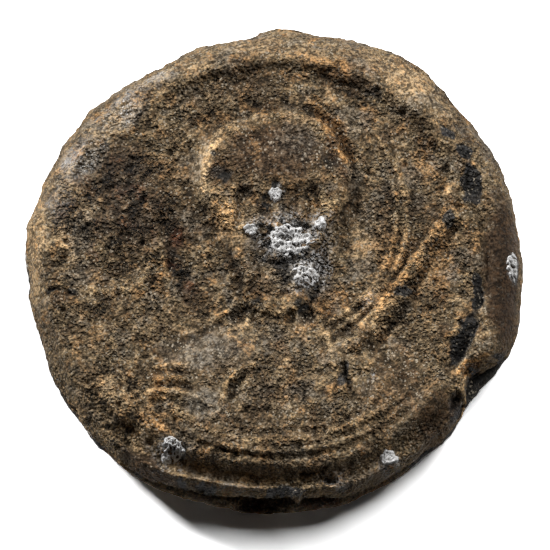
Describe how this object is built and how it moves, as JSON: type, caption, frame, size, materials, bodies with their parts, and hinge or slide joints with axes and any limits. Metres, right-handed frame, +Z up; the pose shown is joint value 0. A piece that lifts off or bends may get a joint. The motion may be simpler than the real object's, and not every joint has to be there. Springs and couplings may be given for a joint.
{
  "type": "lead bulla",
  "caption": "Struck medieval lead seal: a nimbate bust in a border ring on a thick flan of two leaves, closed over a flat cord channel, with mineral crusts.",
  "frame": {"origin": "under the middle of the seal's box, on the plane of the reverse land that it rests on", "axes": "+Z up through the obverse, +Y towards the top of the struck bust, +X to the bust's left hand, where the spear is"},
  "size_m": [0.0272, 0.0274, 0.0053],
  "materials": {
    "lead": "corroded lead with a sandy brown soil patina, matt, dark grey where bare",
    "carbonate": "white and grey lead carbonate crust, chalky and matt"
  },
  "bodies": {
    "root": {"obverse_leaf": "lead", "reverse_leaf": "lead", "carbonate_crust_upper": "carbonate", "carbonate_crust_lower": "carbonate", "carbonate_crust_top_spot": "carbonate", "carbonate_crust_left_spot": "carbonate", "carbonate_crust_right_spot": "carbonate", "carbonate_crust_right_wall": "carbonate", "carbonate_crust_lower_left": "carbonate", "carbonate_crust_lower_right": "carbonate"}
  },
  "joints": []
}
